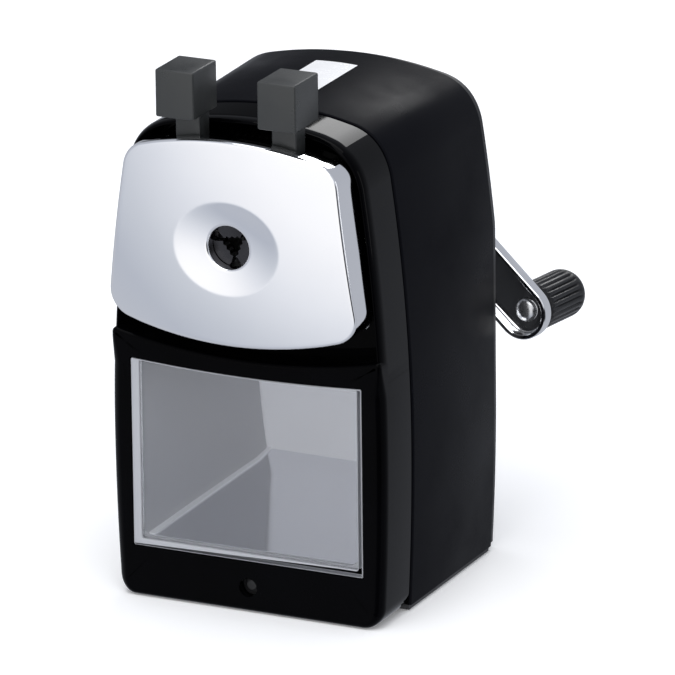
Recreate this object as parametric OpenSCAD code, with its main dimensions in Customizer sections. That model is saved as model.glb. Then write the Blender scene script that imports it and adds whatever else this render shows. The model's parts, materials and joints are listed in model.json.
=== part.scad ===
// Desk pencil sharpener with a crank at the back, a pull-out face plate with a three-jaw
// chuck worked by two levers, one helical cutter in a planetary carrier and a clear drawer.
// Millimetres. Z = 0 is the table, X = 0 the middle, the front faces -Y.

/* [Body] */
// Greatest width over the sheet casing
body_w = 73.6; // [72:0.2:75]
// Depth from the front panel to the rear cover
body_d = 67; // [66.5:0.5:68]
// Height of the top of the casing
body_h = 124.1; // [123.5:0.1:125]
// Height at which the casing is widest
belly_z = 43; // [38:1:48]
// Thickness of the sheet steel casing
sheet = 0.9; // [0.8:0.1:1]
// Depth of the front frame's side strips
frame_d = 16.2; // [16:0.1:17]

/* [Front frame] */
// Height of the lower panel's top edge at the middle
panel_top = 64.2; // [63:0.1:65]
// Width of the drawer window
window_w = 61.8; // [60:0.2:62.4]
// Bottom of the drawer window
window_low = 13.4; // [13:0.1:14]
// Top of the drawer window
window_high = 61; // [60:0.1:61.4]
// How far the upper bezel stands back from the lower panel
bezel_step = 4.4; // [4:0.1:5]

/* [Face plate] */
// Lowest edge of the plate, at the middle
plate_low = 70.1; // [69.6:0.1:70.4]
// Highest edge of the plate, at the middle
plate_high = 120.7; // [120.4:0.1:121]
// How far the plate's front stands out from the lower panel
plate_out = 9.6; // [9.4:0.1:10]
// Height of the pencil axis
axis_z = 94.7; // [94.4:0.1:95]
// Radius of the pencil hole
pencil_hole_r = 5.3; // [5:0.1:5.4]

/* [Levers and chuck] */
// Width of a finger cap
cap_w = 10.1; // [9.6:0.1:10.6]
// Depth of a finger cap, front to back
cap_d = 12.4; // [12:0.1:13]
// Height of a finger cap
cap_h = 11.8; // [11:0.1:13]
// Gap between the closed jaws' grips and the pencil axis
jaw_gap = 1.7; // [1.6:0.1:1.9]

/* [Cutter] */
// Teeth on the ring gear
ring_teeth = 36; // [36:1:36]
// Teeth on the cutter pinion
pinion_teeth = 12; // [12:1:12]
// Lean of the cutter towards the pencil point, in degrees
cutter_tilt = 10.5; // [10.4:0.1:10.6]
// Radius over the cutting edges
cutter_r = 7.2; // [7:0.1:7.2]

/* [Crank] */
// Length of the crank arm between its centres
arm_len = 53.5; // [50:0.5:57]
// How far the arm points below the horizontal, in degrees
arm_drop = 41; // [0:1:90]
// Lean of the arm towards the body, in degrees
arm_lean = 5; // [0:0.5:5]
// Radius of the knob
knob_r = 6.1; // [5.5:0.1:6.5]
// Length of the knob
knob_len = 20; // [18:0.5:22]

/* [Hidden] */
$fn = 48;
front_y = -body_d / 2;
casing_y0 = front_y + frame_d;
casing_y1 = front_y + 63.5;
rear_y = front_y + body_d;
pad_t = 1.4;
base_top = pad_t + 2.4;
front_screw_z = 6.4;
wall = 2;
slack = 0.06;

// side profile: parabolas above and below the belly, a rounded shoulder and a low arch
belly_x = body_w / 2;
upper_bow = 900;
lower_bow = 1470;
shoulder_z0 = body_h - 14.1;
arch_bow = 176;
arch_x = 21;

// lower panel; the window's top edge hangs lower in the middle
panel_bow = 320;
window_sag = 1.15;
window_sag_r = 415;
skirt_low = 0.3;
foot_low = 0.3;
inner_wall_y0 = front_y + 8;
inner_wall_y1 = front_y + 10;

// plate cavity, all measured back from the lower panel's plane
plate_t = 1.2;
plate_y = front_y - plate_out;
plate_back_y = front_y + 3;
pillow_r = 157;
plate_arch = 176;
plate_foot = 216;
dish_r = 60;
dish_depth = 1.6;
boss_back_y = front_y - 5.5;
jaw_y0 = front_y - 5.2;
jaw_y1 = front_y - 2.7;
right_ring_y0 = front_y - 2.3;
right_ring_y1 = front_y - 1.1;
left_ring_y0 = front_y - 0.7;
left_ring_y1 = front_y + 0.5;
chuck_y0 = front_y + 1;
chuck_y1 = front_y + 2.2;
nose_r = 7;
right_ring_r = 12.9;
left_ring_r = 18.5;
jaw_angles = [98, 218, 338];
jaw_pivot = 11 * [cos(-43), sin(-43)];
jaw_driver = 15 * [cos(-20), sin(-20)];
slot_travel = [2.09, 1.32];
jaw_pin_r = 1.2;
driver_r = 0.9;
lever_arm_w = 4.5;
stem_w = 6.4;
stem_x = 12.65;
stem_y = [front_y - 3, front_y + 2.4];
notch_x = 18.2;
stem_low = 117.2;
cap_x = 13.4;
cap_low = 125.2;
cap_y0 = front_y - 8.4;
cap_inner_z = cap_low + cap_h * 0.6;

// guide rods and their springs
rod_x = 25;
rod_r = 2;
rod_end_y = front_y + 59;
bushing_r = 3.6;
bushing_y1 = front_y + 15;
clip_y0 = front_y + 56.4;

// mechanism bracket
bracket_y0 = front_y + 10.2;
bracket_y1 = front_y + 12.2;
bracket_rear_y0 = front_y + 54;
bracket_rear_y1 = front_y + 56;
bracket_low = 68;
bracket_w = 24;
gear_r = 20.7;
gear_y0 = inner_wall_y1;
gear_y1 = front_y + 20.8;
teeth_y0 = front_y + 14.8;
journal_r = 16.76;
pinion_y = front_y + 17.8;
pinion_c = 12;
pinion_w = 3.6;
cutter_z = [2.2, 27];
axle_r = 1.5;
axle_z = [-7, 32.6];
disc_y = [front_y + 10.6, front_y + 14.2];
hub_y = [front_y + 46.3, front_y + 50];
shaft_r = 4;
bush_r = 6;
arm_y = front_y + 79.6;
arm_r = 6.8;
arm_t = 1.2;
flange_d = 3.2;
pin_r = 2.2;

frame_screws = [[-27.5, 76], [27.5, 76], [-22.5, 110], [22.5, 110]];
gear_ears = [for (a = [45:90:315]) 23.4 * [cos(a), sin(a)] + [0, axis_z]];
cover_screws = [[-18, 78], [18, 78], [-18, 110], [18, 110]];
base_screws = [[-28.6, front_y + 9], [28.6, front_y + 9], [-28.6, front_y + 55], [28.6, front_y + 55]];
plate_posts = [[-23, 79], [23, 79], [-19.5, 113], [19.5, 113]];

// ---- outlines ----

function side_x(z) = belly_x - pow(z - belly_z, 2) / (z > belly_z ? upper_bow : lower_bow);
function arch_z(x) = body_h - x * x / arch_bow;
function bezier(a, b, c, t) = a * (1 - t) * (1 - t) + 2 * b * t * (1 - t) + c * t * t;

// right half of the casing's outline, brought in by t and starting at height z0
function half_outline(t, z0) =
  let (
    low = [side_x(shoulder_z0), shoulder_z0],
    high = [arch_x, arch_z(arch_x)],
    bend = [29.8, body_h - 4.3],
    in = [t, t]
  )
  concat(
    [for (i = [0:8]) let (z = z0 + (shoulder_z0 - z0) * i / 8) [side_x(z) - t, z]],
    [for (i = [1:5]) bezier(low - [t, 0], bend - in, high - [0, t], i / 5)],
    [for (i = [1:4]) let (x = arch_x * (1 - i / 4)) [x, arch_z(x) - t]]
  );

function outline(t, z0) =
  let (half = half_outline(t, z0), n = len(half))
  concat(half, [for (i = [n - 2:-1:0]) [-half[i][0], half[i][1]]]);

function unit(v) = v / norm(v);

// arc of radius r that rounds the corner b between a and c
function corner(a, b, c, r, n) =
  let (
    u = unit(a - b),
    w = unit(c - b),
    h = acos(u * w) / 2,
    m = b + unit(u + w) * (r / sin(h)),
    s = b + u * (r / tan(h)) - m,
    e = b + w * (r / tan(h)) - m,
    turn = 180 - 2 * h
  )
  [for (i = [0:n]) m + (s * sin(turn * (1 - i / n)) + e * sin(turn * i / n)) / sin(turn)];

function rounded(pts, radii, n = 6) =
  let (k = len(pts))
  [for (i = [0:k - 1]) each corner(pts[(i + k - 1) % k], pts[i], pts[(i + 1) % k], radii[i], n)];

function box_outline(x0, x1, z0, z1, r) =
  rounded([[x0, z0], [x1, z0], [x1, z1], [x0, z1]], [r, r, r, r]);

// the face plate's outline, brought in by t: leaning sides, low arches above and below
function plate_side(z) = 29.3 + 0.13 * (104.3 - z);
function plate_top(x) = plate_high - x * x / plate_arch;
function plate_bottom(x) = plate_low + x * x / plate_foot;
function plate_half(t) =
  let (
    a = [24, plate_bottom(24) + t],
    b = [33.1 - t, plate_bottom(33.1) + t],
    c = [plate_side(90) - t, 90],
    d = [27.6 - t, plate_top(27.6) - t],
    e = [20, plate_top(20) - t]
  )
  concat(
    [for (x = [8, 16]) [x, plate_bottom(x) + t]],
    corner(a, b, c, 6.5 - t, 7),
    corner(c, d, e, 6.5 - t, 7),
    [for (x = [16, 8]) [x, plate_top(x) - t]]
  );
function plate_outline(t) =
  let (half = plate_half(t), n = len(half))
  concat([[0, plate_low + t]], half, [[0, plate_high - t]],
    [for (i = [n - 1:-1:0]) [-half[i][0], half[i][1]]]);

// front surface of the pillow-shaped face plate at a point of the XZ plane
function plate_front_y(p) =
  plate_y + (pow(p[0], 2) + pow(p[1] - axis_z, 2)) / (2 * pillow_r);

// points of a ring of straight-sided teeth
function gear_points(n, r_in, w_in, r_out, w_out, turn) =
  [for (i = [0:n - 1]) let (a = turn + i * 360 / n)
    each [for (p = [[r_in, -w_in / 2], [r_out, -w_out / 2], [r_out, w_out / 2], [r_in, w_in / 2]])
      [p[0] * cos(a) - p[1] * sin(a), p[0] * sin(a) + p[1] * cos(a)]]];

// ---- shapes laid out in the XZ plane and drawn along Y ----

module along_y(y0, y1) {
  translate([0, y1, 0]) rotate([90, 0, 0]) linear_extrude(y1 - y0) children();
}

module disc_y(r, y0, y1, x = 0, z = 0) {
  translate([x, y1, z]) rotate([90, 0, 0]) cylinder(r = r, h = y1 - y0, $fn = r > 50 ? 720 : $fn);
}

module slab(x0, x1, y0, y1, z0, z1) {
  translate([x0, y0, z0]) cube([x1 - x0, y1 - y0, z1 - z0]);
}

module screw_y(r, head_r, head_h, len, y_head, x, z) {
  disc_y(head_r, y_head - head_h, y_head, x, z);
  disc_y(r, y_head, y_head + len, x, z);
}

module about_axis(angle) {
  translate([0, 0, axis_z]) rotate([0, -angle, 0]) children();
}

// frame of the cutter: local Z runs back along its leaning axis
module on_cutter_axis() {
  translate([0, pinion_y, axis_z + pinion_c]) rotate([-90 - cutter_tilt, 0, 0]) children();
}

// frame of the crank arm: local X runs along the arm, local Z to the rear
module on_arm() {
  translate([0, arm_y, axis_z]) rotate([0, arm_drop, 0]) rotate([-90, 0, 0])
    rotate([0, arm_lean, 0]) children();
}

// coil spring along local Z
module coil(r, wire_r, len, turns, steps, sides) {
  n = turns * steps;
  rings = [for (i = [0:n]) for (j = [0:sides - 1])
    let (a = i * 360 / steps, b = j * 360 / sides)
      [(r + wire_r * cos(b)) * cos(a), (r + wire_r * cos(b)) * sin(a),
        len * i / n + wire_r * sin(b)]];
  skin = [for (i = [0:n - 1]) for (j = [0:sides - 1]) let (k = (j + 1) % sides)
    [i * sides + j, i * sides + k, (i + 1) * sides + k, (i + 1) * sides + j]];
  ends = [[for (j = [sides - 1:-1:0]) j], [for (j = [0:sides - 1]) n * sides + j]];
  polyhedron(points = rings, faces = concat(skin, ends), convexity = 10);
}

// ---- fixed pieces ----

module base_pad() color("dimgray")
  linear_extrude(pad_t)
    polygon(rounded([[-25, -24], [25, -24], [25, 24], [-25, 24]], [5, 5, 5, 5]));

module base_plate() color([0.06, 0.06, 0.07])
  difference() {
    union() {
      slab(-32.1, 32.1, front_y + 3, casing_y0 + 0.6, pad_t, base_top);
      slab(-33.6, 33.6, casing_y0 + 0.6, front_y + 63.2, pad_t, base_top);
      slab(-4, 4, front_y + 3, front_y + 10, base_top - 0.2, 9.4);
      for (s = [-1, 1])
        slab(s * 33 - 2, s * 33 + 2, casing_y0 + 0.6, front_y + 63.2, foot_low, pad_t + 0.1);
      slab(-31.2, 31.2, front_y + 59, front_y + 63.2, foot_low, pad_t + 0.1);
    }
    disc_y(1.4 + slack, front_y + 2, front_y + 11, 0, front_screw_z);
    for (p = base_screws) translate([p[0], p[1], 0]) {
      cylinder(r = 1.5 + slack, h = 6);
      cylinder(r = 2.8 + slack, h = pad_t + 1.2);
    }
  }

module base_screws() color("silver")
  for (p = base_screws) translate([p[0], p[1], pad_t]) {
    cylinder(r = 2.8, h = 1.2);
    translate([0, 0, 1.2]) cylinder(r = 1.5, h = 6);
  }

module frame_lower() {
  difference() {
    along_y(front_y, casing_y0) polygon(outline(0.4, skirt_low));
    disc_y(panel_bow / 2, front_y - 1, casing_y0 + 1, 0, panel_top + panel_bow / 2);
    difference() {
      along_y(front_y + 2.6, casing_y0 + 1) polygon(outline(0.4 + wall, -1));
      disc_y(panel_bow / 2 + wall, front_y, casing_y0 + 2, 0, panel_top + panel_bow / 2);
    }
    difference() {
      along_y(front_y - 1, front_y + 4)
        polygon(box_outline(-window_w / 2, window_w / 2, window_low, window_high, 1.5));
      disc_y(window_sag_r, front_y - 2, front_y + 5, 0, window_high - window_sag + window_sag_r);
    }
    disc_y(2.4, front_y - 1, front_y + 4, 0, front_screw_z);
  }
}

module frame_upper() {
  difference() {
    along_y(front_y + bezel_step, casing_y0) polygon(outline(0.4, panel_top - 3));
    along_y(front_y, inner_wall_y0) polygon(outline(0.4 + wall, 0));
    along_y(inner_wall_y1, casing_y0 + 1) polygon(outline(0.4 + wall, 0));
    disc_y(panel_bow / 2 + wall / 2, front_y, casing_y0 + 1, 0, panel_top - 3 - panel_bow / 2);
    disc_y(18, inner_wall_y0 - 1, inner_wall_y1 + 1, 0, axis_z);
    for (s = [-1, 1]) disc_y(bushing_r + 0.02, inner_wall_y0 - 1, inner_wall_y1 + 1, s * rod_x, axis_z);
    for (p = frame_screws) disc_y(1.3 + slack, inner_wall_y0 - 1, inner_wall_y1 + 1, p[0], p[1]);
  }
}

module front_frame() color([0.03, 0.03, 0.035]) {
  frame_lower();
  frame_upper();
  difference() {
    along_y(casing_y0, casing_y0 + 3) polygon(outline(sheet + 0.3, 5));
    along_y(casing_y0 - 1, casing_y0 + 4) polygon(outline(sheet + 2, 0));
  }
}

module front_screw() color("silver")
  screw_y(1.4, 2.3, 1.4, 6, front_y + 2.4, 0, front_screw_z);

module frame_screws() color("silver")
  for (p = frame_screws) screw_y(1.3, 2.6, 1.2, 4.6, inner_wall_y0, p[0], p[1]);

module casing() color([0.1, 0.11, 0.14])
  difference() {
    along_y(casing_y0 + 0.3, casing_y1) polygon(outline(0, 1.6));
    along_y(casing_y0, casing_y1 + 1) polygon(outline(sheet, -2));
  }

module rear_cover() color([0.05, 0.05, 0.06])
  difference() {
    union() {
      along_y(casing_y1, rear_y) polygon(outline(1.2, 1.4));
      difference() {
        along_y(casing_y1 - 3, casing_y1) polygon(outline(sheet + 0.3, 3.8));
        along_y(casing_y1 - 4, casing_y1 + 1) polygon(outline(sheet + 2, 0));
      }
      for (p = cover_screws) disc_y(3.5, bracket_rear_y1, casing_y1, p[0], p[1]);
    }
    disc_y(8, casing_y1 - 1, rear_y + 1, 0, axis_z);
    for (p = cover_screws) {
      disc_y(1.3 + slack, bracket_rear_y1 - 1, rear_y + 1, p[0], p[1]);
      disc_y(2.6 + slack, rear_y - 1.3, rear_y + 1, p[0], p[1]);
    }
  }

module cover_screws() color("silver")
  for (p = cover_screws) {
    disc_y(2.6, rear_y - 1.3, rear_y - 0.1, p[0], p[1]);
    disc_y(1.3, bracket_rear_y0 - 1, rear_y - 1.3, p[0], p[1]);
  }

module drawer_guide() color([0.08, 0.08, 0.09]) {
  floor_z = window_low - 0.2;
  slab(-32.2, 32.2, front_y + 3, front_y + 60.2, floor_z - 2, floor_z);
  for (s = [-1, 1])
    slab(s * 31.4 - 0.8, s * 31.4 + 0.8, front_y + 3, front_y + 60.2, floor_z - 1, floor_z + 8);
  slab(-30, 30, front_y + 58.4, front_y + 60.2, floor_z - 1, floor_z + 20);
  for (p = base_screws) translate([p[0], p[1], base_top]) difference() {
    cylinder(r = 3.4, h = floor_z - 1 - base_top);
    translate([0, 0, -1]) cylinder(r = 1.5 + slack, h = 6.6);
  }
}

module mech_bracket() color("darkgray")
  difference() {
    union() {
      along_y(bracket_y0, bracket_y1) polygon(outline(1 + wall + 0.4, bracket_low));
      along_y(bracket_rear_y0, bracket_rear_y1) polygon([
        [-bracket_w, bracket_low], [bracket_w, bracket_low], [bracket_w, 85], [20.8, 89],
        [20.8, 111], [17, 115], [-17, 115], [-20.8, 111], [-20.8, 89], [-bracket_w, 85]]);
      slab(-bracket_w, bracket_w, bracket_y1, bracket_rear_y0, bracket_low, bracket_low + 1.8);
      for (s = [-1, 1])
        slab(s * 23.2 - 0.8, s * 23.2 + 0.8, bracket_y1, bracket_rear_y0, bracket_low, 86);
    }
    disc_y(gear_r + 0.05, bracket_y0 - 1, bracket_y1 + 1, 0, axis_z);
    slab(-15, 15, front_y + 17, front_y + 51, bracket_low - 1, bracket_low + 3);
    disc_y(bush_r + 0.02, bracket_rear_y0 - 1, bracket_rear_y1 + 1, 0, axis_z);
    for (s = [-1, 1]) disc_y(bushing_r + 0.02, bracket_y0 - 1, bracket_y1 + 1, s * rod_x, axis_z);
    for (p = concat(frame_screws, gear_ears))
      disc_y(1.3 + slack, bracket_y0 - 1, bracket_y1 + 1, p[0], p[1]);
    for (p = cover_screws) disc_y(1.3 + slack, bracket_rear_y0 - 1, bracket_rear_y1 + 1, p[0], p[1]);
  }

module ring_gear() color("dimgray")
  difference() {
    union() {
      disc_y(gear_r, gear_y0, gear_y1, 0, axis_z);
      for (p = gear_ears) disc_y(3.2, bracket_y1, bracket_y1 + 1, p[0], p[1]);
    }
    for (p = gear_ears) disc_y(1.3 + slack, bracket_y1 - 1, bracket_y1 + 2, p[0], p[1]);
    disc_y(journal_r, gear_y0 - 1, gear_y1 + 1, 0, axis_z);
    about_axis(0) along_y(teeth_y0, gear_y1 + 1)
      polygon(gear_points(ring_teeth, 17.25, 2.31, 19.3, 1.75, 0));
  }

module gear_screws() color("silver")
  for (p = gear_ears) {
    disc_y(2.4, bracket_y1 + 1, bracket_y1 + 2, p[0], p[1]);
    disc_y(1.3, bracket_y0, bracket_y1 + 1, p[0], p[1]);
  }

module rod_bushings() color("khaki")
  for (s = [-1, 1]) difference() {
    union() {
      disc_y(bushing_r, inner_wall_y0 - 0.8, bushing_y1, s * rod_x, axis_z);
      disc_y(bushing_r + 0.7, bushing_y1 - 1, bushing_y1, s * rod_x, axis_z);
    }
    disc_y(rod_r + 0.05, inner_wall_y0 - 2, bushing_y1 + 1, s * rod_x, axis_z);
  }

module shaft_bushing() color("darkgoldenrod")
  difference() {
    union() {
      disc_y(bush_r, front_y + 52.4, front_y + 58, 0, axis_z);
      disc_y(bush_r + 1.4, front_y + 52.4, bracket_rear_y0, 0, axis_z);
    }
    disc_y(shaft_r + 0.05, front_y + 52, front_y + 59, 0, axis_z);
  }

module top_label() color("white") {
  edge = [for (i = [-4:4]) i * 5.6 / 4];
  along_y(front_y + 30, front_y + 53)
    polygon(concat([for (x = edge) [x, arch_z(x) + 0.12]],
      [for (i = [8:-1:0]) [edge[i], arch_z(edge[i])]]));
}

// ---- face plate, chuck and levers ----

module face_plate() color([0.78, 0.79, 0.8])
  difference() {
    union() {
      difference() {
        plate_solid(0);
        plate_solid(plate_t);
      }
      disc_y(13, plate_y + 1, boss_back_y, 0, axis_z);
      for (p = plate_posts) disc_y(2.3, plate_front_y(p) + plate_t / 2, chuck_y0, p[0], p[1]);
    }
    translate([0, plate_y + dish_depth - dish_r, axis_z]) sphere(r = dish_r, $fn = 180);
    disc_y(pencil_hole_r, plate_y - 1, boss_back_y + 1, 0, axis_z);
    for (p = plate_posts) disc_y(1 + slack, chuck_y0 - 4, chuck_y0 + 1, p[0], p[1]);
    slab(-notch_x, notch_x, stem_y[0] - 0.6, plate_back_y + 1, stem_low - 3, 130);
  }

// the outline run back from a pillow-shaped front, brought in by t on every side
module plate_solid(t) {
  intersection() {
    along_y(plate_y + t - 1, plate_back_y + t) polygon(plate_outline(t));
    translate([0, plate_y + pillow_r, axis_z]) sphere(r = pillow_r - t, $fn = 360);
  }
}

module chuck_plate() color("lightgray")
  difference() {
    union() {
      along_y(chuck_y0, chuck_y1) polygon(rounded(
        [[-28.5, 75.4], [28.5, 75.4], [24.6, 115.8], [-24.6, 115.8]], [3, 3, 3, 3]));
      disc_y(nose_r, right_ring_y0, chuck_y0, 0, axis_z);
    }
    disc_y(5.6, right_ring_y0 - 1, chuck_y1 + 1, 0, axis_z);
    for (p = plate_posts) disc_y(1 + slack, chuck_y0 - 1, chuck_y1 + 1, p[0], p[1]);
    for (s = [-1, 1]) disc_y(rod_r + 0.02, chuck_y0 - 1, chuck_y1 + 1, s * rod_x, axis_z);
  }

module plate_screws() color("silver")
  for (p = plate_posts) {
    disc_y(1, chuck_y0 - 3, chuck_y1, p[0], p[1]);
    disc_y(1.9, chuck_y1, chuck_y1 + 0.9, p[0], p[1]);
  }

module guide_rods() color("silver")
  for (s = [-1, 1]) {
    disc_y(rod_r, chuck_y0 - 1, rod_end_y, s * rod_x, axis_z);
    disc_y(2.8, chuck_y0 - 1, chuck_y0, s * rod_x, axis_z);
    disc_y(2.8, chuck_y1, chuck_y1 + 1, s * rod_x, axis_z);
  }

module rod_clips() color("gray")
  for (s = [-1, 1]) difference() {
    disc_y(3.6, clip_y0, clip_y0 + 1, s * rod_x, axis_z);
    disc_y(rod_r + 0.02, clip_y0 - 1, clip_y0 + 2, s * rod_x, axis_z);
  }

module rod_spring(s) color("silver")
  translate([s * rod_x, bushing_y1 + 0.5, axis_z]) rotate([-90, 0, 0])
    coil(2.9, 0.35, clip_y0 - bushing_y1 - 1, 11, 14, 6);

// steel ring with an arm at x that carries a finger cap
module lever(x, y0, y1, ring_r) {
  difference() {
    union() {
      disc_y(ring_r, y0, y1, 0, axis_z);
      slab(x - lever_arm_w / 2, x + lever_arm_w / 2, y0, y1, axis_z + 1, cap_inner_z);
    }
    disc_y(nose_r + slack, y0 - 1, y1 + 1, 0, axis_z);
  }
}

module lever_right() color("gainsboro")
  difference() {
    lever(stem_x, right_ring_y0, right_ring_y1, right_ring_r);
    for (a = jaw_angles) about_axis(a)
      disc_y(jaw_pin_r + 0.02, right_ring_y0 - 1, right_ring_y1 + 1, jaw_pivot[0], jaw_pivot[1]);
  }

module lever_left() color("gainsboro")
  difference() {
    lever(-stem_x, left_ring_y0, left_ring_y1, left_ring_r);
    for (a = jaw_angles) about_axis(a) {
      for (k = [0, 1])
        disc_y(driver_r + 0.4, left_ring_y0 - 1, left_ring_y1 + 1,
          jaw_driver[0] + k * slot_travel[0], jaw_driver[1] + k * slot_travel[1]);
      translate([jaw_driver[0], 0, jaw_driver[1]])
        rotate([0, -atan2(slot_travel[1], slot_travel[0]), 0])
          slab(0, norm(slot_travel), left_ring_y0 - 1, left_ring_y1 + 1,
            -driver_r - 0.4, driver_r + 0.4);
    }
  }

module jaw_pins() color("silver")
  for (a = jaw_angles) about_axis(a)
    disc_y(jaw_pin_r, jaw_y0 - 0.2, right_ring_y1, jaw_pivot[0], jaw_pivot[1]);

// cap and stem moulded in one; the lever's arm sits in a slot
module cap(s, y0, y1) color([0.22, 0.23, 0.23]) {
  slot = lever_arm_w / 2 + 0.02;
  difference() {
    union() {
      along_y(cap_y0, cap_y0 + cap_d)
        polygon(box_outline(s * cap_x - cap_w / 2, s * cap_x + cap_w / 2, cap_low, cap_low + cap_h, 1));
      slab(s * stem_x - stem_w / 2, s * stem_x + stem_w / 2, stem_y[0], stem_y[1], stem_low, cap_low + 1);
    }
    slab(s * stem_x - slot, s * stem_x + slot, y0 - 0.02, y1 + 0.02, stem_low - 1, cap_inner_z);
  }
}

// short compression spring between the two lever arms
module lever_spring() color("silver")
  translate([2.55 - stem_x, (right_ring_y1 + left_ring_y0) / 2, axis_z + 20.4])
    rotate([0, 90, 0]) coil(1.3, 0.25, 2 * stem_x - 5.1, 10, 12, 6);

module jaw(a) color("lightslategray")
  about_axis(a) difference() {
    union() {
      along_y(jaw_y0, jaw_y1) polygon(concat(
        [[7.6, -9.6], [3.4, -3.2]],
        [for (i = [-3:3]) [jaw_gap + (abs(i) % 2 == 0 ? 0.45 : 0), i * 0.72]],
        [[3.2, 3.2], [5.4, 3.6], [15.4, -3.6], [15.6, -6]]));
      disc_y(2.1, jaw_y0, jaw_y1, jaw_pivot[0], jaw_pivot[1]);
      disc_y(driver_r, jaw_y1 - 0.5, left_ring_y1 - 0.1, jaw_driver[0], jaw_driver[1]);
    }
    disc_y(jaw_pin_r + slack, jaw_y0 - 1, jaw_y1 + 1, jaw_pivot[0], jaw_pivot[1]);
  }

// ---- drawer ----

module drawer() color([0.6, 0.63, 0.66, 0.5]) {
  x = window_w / 2 - 0.4;
  z0 = window_low + 0.3;
  z1 = window_high - 0.4;
  difference() {
    along_y(front_y + 0.2, front_y + 58) polygon(box_outline(-x, x, z0, z1, 1.2));
    slab(-x + 1.8, x - 1.8, front_y + 2.4, front_y + 56.2, z0 + 1.8, z1 + 1);
    disc_y(window_sag_r, front_y, front_y + 60, 0, z1 - window_sag + window_sag_r);
  }
}

// ---- cutter carrier and crank ----

module cutter_carrier() color("darkgray")
  difference() {
    union() {
      disc_y(journal_r - slack, disc_y[0], disc_y[1], 0, axis_z);
      disc_y(16.5, hub_y[0], hub_y[1], 0, axis_z);
      for (a = [-24, 204]) about_axis(a) slab(12.6, 16.2, disc_y[0], hub_y[1], -3, 3);
    }
    disc_y(4.6, disc_y[0] - 1, disc_y[1] + 1, 0, axis_z);
    disc_y(shaft_r + 0.02, front_y + 47, hub_y[1] + 1, 0, axis_z);
    on_cutter_axis() translate([0, 0, axle_z[0] - 3]) cylinder(r = axle_r + 0.02, h = 46);
  }

module cutter_axle() color("silver")
  on_cutter_axis() translate([0, 0, axle_z[0]]) cylinder(r = axle_r, h = axle_z[1] - axle_z[0]);

module crank_shaft() color("silver") {
  disc_y(shaft_r, front_y + 47, arm_y - 2.6, 0, axis_z);
  disc_y(2.5, arm_y - 2.6, arm_y + 4.4, 0, axis_z);
}

module shaft_clip() color("gray")
  difference() {
    disc_y(6.4, front_y + 58.3, front_y + 59.3, 0, axis_z);
    disc_y(shaft_r + 0.02, front_y + 58, front_y + 60, 0, axis_z);
  }

// stamped arm: a tray open to the front
module crank_arm() color([0.75, 0.76, 0.78])
  difference() {
    on_arm() {
      difference() {
        capsule(arm_r, -flange_d, arm_t);
        capsule(arm_r - arm_t, -flange_d - 1, 0);
        translate([arm_len, 0, -1]) cylinder(r = pin_r + 0.02, h = 5);
      }
    }
    disc_y(2.52, arm_y - 9, arm_y + 9, 0, axis_z);
  }

module capsule(r, z0, z1) {
  for (x = [0, arm_len]) translate([x, 0, z0]) cylinder(r = r, h = z1 - z0);
  translate([0, -r, z0]) cube([arm_len, 2 * r, z1 - z0]);
}

module crank_nut() color("silver")
  difference() {
    disc_y(4.6, arm_y + 1.75, arm_y + 5.2, 0, axis_z);
    disc_y(2.52, arm_y, arm_y + 4.42, 0, axis_z);
  }

module knob_pin() color("silver")
  on_arm() translate([arm_len, 0, 0]) {
    translate([0, 0, -1]) cylinder(r = 2.9, h = 1);
    cylinder(r = pin_r, h = arm_t + 17);
    translate([0, 0, arm_t]) cylinder(r = 4.4, h = 0.7);
  }

module knob() color([0.11, 0.11, 0.13])
  on_arm() translate([arm_len, 0, arm_t + 1]) difference() {
    union() {
      cylinder(r = knob_r, h = knob_len - 3.6);
      translate([0, 0, knob_len - 3.6]) rotate_extrude()
        polygon([[0, 0], [knob_r, 0], for (a = [15:15:90]) [knob_r - 3.6 + 3.6 * cos(a), 3.6 * sin(a)],
          [0, 3.6]]);
    }
    translate([0, 0, -1]) cylinder(r = pin_r + slack, h = 18);
    for (a = [0:15:345]) rotate(a) translate([knob_r + 0.15, 0, 1]) cylinder(r = 0.5, h = 13.4);
  }

module cutter() color("slategray")
  on_cutter_axis() difference() {
    translate([0, 0, cutter_z[0]]) linear_extrude(cutter_z[1] - cutter_z[0])
      polygon(gear_points(18, cutter_r - 1, 1.3, cutter_r - 0.02, 0.5, 0));
    translate([0, 0, cutter_z[0] - 1]) cylinder(r = axle_r + 0.05, h = 40);
  }

module cutter_pinion() color("gray")
  on_cutter_axis() difference() {
    union() {
      translate([0, 0, -pinion_w / 2]) linear_extrude(pinion_w)
        polygon(gear_points(pinion_teeth, 4.6, 1.7, 6.6, 0.6, 0));
      translate([0, 0, pinion_w / 2]) cylinder(r = 4, h = cutter_z[0] - pinion_w / 2);
    }
    translate([0, 0, -5]) cylinder(r = axle_r + 0.05, h = 10);
  }

base_pad();
base_plate();
base_screws();
front_frame();
front_screw();
frame_screws();
casing();
rear_cover();
cover_screws();
drawer_guide();
mech_bracket();
ring_gear();
gear_screws();
rod_bushings();
shaft_bushing();
top_label();
face_plate();
chuck_plate();
plate_screws();
guide_rods();
rod_clips();
rod_spring(-1);  // rod_spring_left
rod_spring(1);  // rod_spring_right
lever_right();
cap(1, right_ring_y0, right_ring_y1);  // cap_right
jaw_pins();
lever_left();
cap(-1, left_ring_y0, left_ring_y1);  // cap_left
lever_spring();
jaw(jaw_angles[0]);  // jaw_top
jaw(jaw_angles[1]);  // jaw_lower_left
jaw(jaw_angles[2]);  // jaw_lower_right
drawer();
cutter_carrier();
cutter_axle();
crank_shaft();
shaft_clip();
crank_arm();
crank_nut();
knob_pin();
cutter();
cutter_pinion();
knob();
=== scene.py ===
import bpy
import bmesh
import json
import math
import numpy as np
from mathutils import Vector, Matrix


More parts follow.
